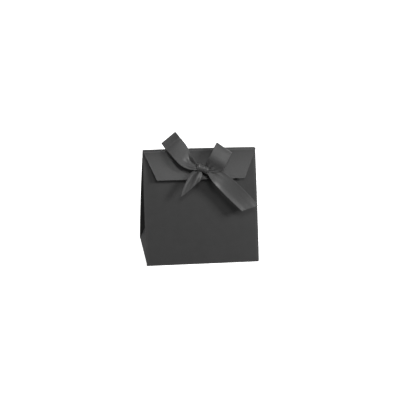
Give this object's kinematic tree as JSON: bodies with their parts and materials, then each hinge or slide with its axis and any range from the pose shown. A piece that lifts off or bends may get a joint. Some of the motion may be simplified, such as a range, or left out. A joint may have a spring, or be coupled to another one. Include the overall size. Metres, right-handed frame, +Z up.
{
  "type": "gift box",
  "caption": "Tapered card gift box with folded side gussets, a trapezoid closing flap and a satin ribbon tied in a bow.",
  "frame": {"origin": "centre of the base's underside, on the ground", "axes": "+Z up, -Y towards the front with the flap and bow, +X to the right seen from the front"},
  "size_m": [0.1, 0.0698, 0.1119],
  "materials": {
    "card": "uncoated dark grey card, satin",
    "ribbon": "dark grey satin weave"
  },
  "bodies": {
    "carton": {"front_panel": "card", "back_panel": "card", "left_gusset_front": "card", "left_gusset_centre": "card", "left_gusset_back": "card", "right_gusset_front": "card", "right_gusset_centre": "card", "right_gusset_back": "card", "seam_tab": "card", "base_panel": "card", "left_base_flap": "card", "right_base_flap": "card", "front_base_flap": "card", "ribbon_inner_span": "ribbon"},
    "flap": {"ridge_strip": "card", "closure_flap": "card"},
    "bow": {"ribbon_knot": "ribbon", "bow_left_loop": "ribbon", "bow_right_loop": "ribbon", "ribbon_left_leg": "ribbon", "ribbon_right_leg": "ribbon"},
    "left_tail": {"ribbon_left_tail": "ribbon"},
    "right_tail": {"ribbon_right_tail": "ribbon"}
  },
  "joints": [
    {"name": "flap_hinge", "type": "hinge", "parent": "carton", "child": "flap", "pos_m": [0, 0.0029, 0.09515], "axis": [-1, 0, 0], "range_deg": [0, 150]},
    {"name": "bow_pull", "type": "slide", "parent": "flap", "child": "bow", "axis": [0, -0.8829, 0.4695], "range_m": [0, 0.025]},
    {"name": "left_tail_swing", "type": "hinge", "parent": "bow", "child": "left_tail", "pos_m": [-0.006, -0.0156, 0.07956], "axis": [0, -0.8829, 0.4695], "range_deg": [-12, 12], "stiffness_Nm_per_rad": 0.002},
    {"name": "right_tail_swing", "type": "hinge", "parent": "bow", "child": "right_tail", "pos_m": [0.0066, -0.01607, 0.07868], "axis": [0, -0.8829, 0.4695], "range_deg": [-12, 12], "stiffness_Nm_per_rad": 0.002}
  ]
}
